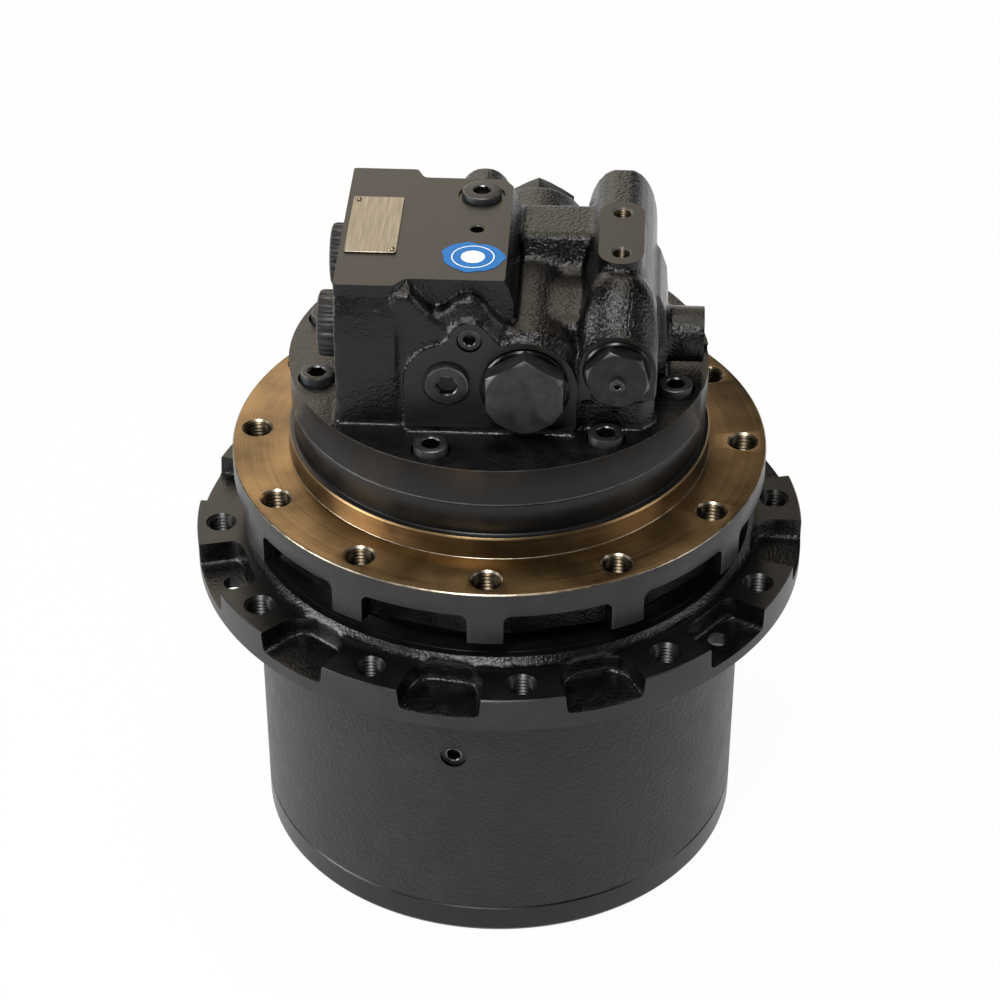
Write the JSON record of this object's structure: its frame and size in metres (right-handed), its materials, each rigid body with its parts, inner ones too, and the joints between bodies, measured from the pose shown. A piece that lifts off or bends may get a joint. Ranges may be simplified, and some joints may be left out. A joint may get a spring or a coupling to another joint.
{
  "type": "excavator final drive",
  "caption": "Planetary track drive with hydraulic motor: turning drum with sprocket flange, fixed frame flange and a valve block on top.",
  "frame": {"origin": "on the turning axis, at the outer face of the end cover", "axes": "+Z along the turning axis from the end cover towards the valve block; -Y towards the front spool plug; -X towards the capped hose ports"},
  "size_m": [0.3086, 0.3086, 0.3506],
  "materials": {
    "black_paint": "gloss black paint over sand-cast iron",
    "grey_paint": "dark grey primer over sand-cast iron",
    "turned_face": "turned iron with a bronze-coloured protective coat",
    "steel": "ground steel",
    "gear_steel": "hardened gear steel",
    "black_oxide": "black oxide steel",
    "bronze": "bearing bronze",
    "aluminium": "bare brushed sheet",
    "rubber": "matt black",
    "plastic": "matt black moulding"
  },
  "bodies": {
    "frame_side": {"motor_case": "turned_face", "second_carrier": "steel", "valve_block": "black_paint", "block_bolt_1": "black_oxide", "block_bolt_2": "black_oxide", "block_bolt_3": "black_oxide", "block_bolt_4": "black_oxide", "block_bolt_5": "black_oxide", "block_bolt_6": "black_oxide", "block_bolt_7": "black_oxide", "block_bolt_8": "black_oxide", "front_spool_plug": "black_oxide", "rear_spool_plug": "black_oxide", "speed_valve_plug": "black_oxide", "bleed_screw": "black_oxide", "gauge_port_plug": "black_oxide", "pilot_port_plug": "black_oxide", "top_port_plug": "black_oxide", "front_port_cap": "plastic", "rear_port_cap": "plastic", "blank_plate": "aluminium", "valve_plate": "bronze", "bearing_nut": "steel", "lower_bearing_inner_race": "steel", "upper_bearing_inner_race": "steel", "fixed_seal_ring": "steel", "brake_spring": "steel", "brake_plate": "steel", "shaft_bearing_outer_race": "steel", "shaft_seal": "rubber"},
    "hub": {"housing": "grey_paint", "end_cover": "black_paint", "lower_bearing_outer_race": "steel", "upper_bearing_outer_race": "steel", "turning_seal_ring": "steel", "fill_plug": "black_oxide", "drain_plug": "black_oxide", "level_plug": "black_oxide"},
    "middle_stage": {"first_carrier": "steel", "second_sun_gear": "gear_steel"},
    "first_planet_a": {"stage_1_planet_1": "gear_steel"},
    "first_planet_b": {"stage_1_planet_2": "gear_steel"},
    "first_planet_c": {"stage_1_planet_3": "gear_steel"},
    "second_planet_a": {"stage_2_planet_1": "gear_steel"},
    "second_planet_b": {"stage_2_planet_2": "gear_steel"},
    "second_planet_c": {"stage_2_planet_3": "gear_steel"},
    "second_planet_d": {"stage_2_planet_4": "gear_steel"},
    "rotor": {"motor_shaft": "steel", "first_sun_gear": "gear_steel", "cylinder_block": "steel", "piston_set": "bronze", "brake_disc": "bronze", "shaft_bearing_inner_race": "steel"},
    "lower_balls": {"lower_bearing_balls": "steel"},
    "upper_balls": {"upper_bearing_balls": "steel"},
    "balance_spool": {"counterbalance_spool": "steel"},
    "speed_spool": {"speed_change_spool": "steel"},
    "swash": {"swash_plate": "steel"},
    "speed_piston": {"speed_change_piston": "steel"},
    "brake": {"brake_piston": "steel"}
  },
  "joints": [
    {"name": "hub_spin", "type": "hinge", "parent": "frame_side", "child": "hub", "pos_m": [0, 0, 0], "axis": [0, 0, 1], "continuous": true},
    {"name": "middle_stage_spin", "type": "hinge", "parent": "frame_side", "child": "middle_stage", "pos_m": [0, 0, 0], "axis": [0, 0, 1], "continuous": true},
    {"name": "first_planet_a_spin", "type": "hinge", "parent": "middle_stage", "child": "first_planet_a", "pos_m": [0.0585, 0, 0], "axis": [0, 0, 1], "continuous": true},
    {"name": "first_planet_b_spin", "type": "hinge", "parent": "middle_stage", "child": "first_planet_b", "pos_m": [-0.02925, 0.05066, 0], "axis": [0, 0, 1], "continuous": true},
    {"name": "first_planet_c_spin", "type": "hinge", "parent": "middle_stage", "child": "first_planet_c", "pos_m": [-0.02925, -0.05066, 0], "axis": [0, 0, 1], "continuous": true},
    {"name": "second_planet_a_spin", "type": "hinge", "parent": "frame_side", "child": "second_planet_a", "pos_m": [0.063, 0, 0], "axis": [0, 0, 1], "continuous": true},
    {"name": "second_planet_b_spin", "type": "hinge", "parent": "frame_side", "child": "second_planet_b", "pos_m": [0, 0.063, 0], "axis": [0, 0, 1], "continuous": true},
    {"name": "second_planet_c_spin", "type": "hinge", "parent": "frame_side", "child": "second_planet_c", "pos_m": [-0.063, 0, 0], "axis": [0, 0, 1], "continuous": true},
    {"name": "second_planet_d_spin", "type": "hinge", "parent": "frame_side", "child": "second_planet_d", "pos_m": [0, -0.063, 0], "axis": [0, 0, 1], "continuous": true},
    {"name": "rotor_spin", "type": "hinge", "parent": "frame_side", "child": "rotor", "pos_m": [0, 0, 0], "axis": [0, 0, 1], "continuous": true},
    {"name": "lower_balls_spin", "type": "hinge", "parent": "frame_side", "child": "lower_balls", "pos_m": [0, 0, 0], "axis": [0, 0, 1], "continuous": true},
    {"name": "upper_balls_spin", "type": "hinge", "parent": "frame_side", "child": "upper_balls", "pos_m": [0, 0, 0], "axis": [0, 0, 1], "continuous": true},
    {"name": "swash_tilt", "type": "hinge", "parent": "frame_side", "child": "swash", "pos_m": [-0.04, 0, 0.141], "axis": [0, 1, 0], "range_deg": [0, 7]},
    {"name": "speed_piston_slide", "type": "slide", "parent": "frame_side", "child": "speed_piston", "axis": [0, 0, 1], "range_m": [-0.012, 0]},
    {"name": "brake_release", "type": "slide", "parent": "frame_side", "child": "brake", "axis": [0, 0, 1], "range_m": [0, 0.0015], "stiffness_N_per_m": 20000, "springref_m": -0.001, "deforming": ["brake_spring"]},
    {"name": "balance_spool_slide", "type": "slide", "parent": "frame_side", "child": "balance_spool", "axis": [0, 1, 0], "range_m": [-0.006, 0.006], "stiffness_N_per_m": 4000},
    {"name": "speed_spool_slide", "type": "slide", "parent": "frame_side", "child": "speed_spool", "axis": [0, 1, 0], "range_m": [0, 0.005], "stiffness_N_per_m": 2000, "springref_m": -0.001}
  ],
  "couplings": [
    {"joint": "middle_stage_spin", "follows": "hub_spin", "ratio": -4.6},
    {"joint": "first_planet_a_spin", "follows": "hub_spin", "ratio": 12.88},
    {"joint": "first_planet_b_spin", "follows": "hub_spin", "ratio": 12.88},
    {"joint": "first_planet_c_spin", "follows": "hub_spin", "ratio": 12.88},
    {"joint": "second_planet_a_spin", "follows": "hub_spin", "ratio": 2.5556},
    {"joint": "second_planet_b_spin", "follows": "hub_spin", "ratio": 2.5556},
    {"joint": "second_planet_c_spin", "follows": "hub_spin", "ratio": 2.5556},
    {"joint": "second_planet_d_spin", "follows": "hub_spin", "ratio": 2.5556},
    {"joint": "rotor_spin", "follows": "hub_spin", "ratio": -47.533},
    {"joint": "lower_balls_spin", "follows": "hub_spin", "ratio": 0.54},
    {"joint": "upper_balls_spin", "follows": "hub_spin", "ratio": 0.54},
    {"joint": "speed_piston_slide", "follows": "swash_tilt", "m_per_rad": -0.095}
  ]
}
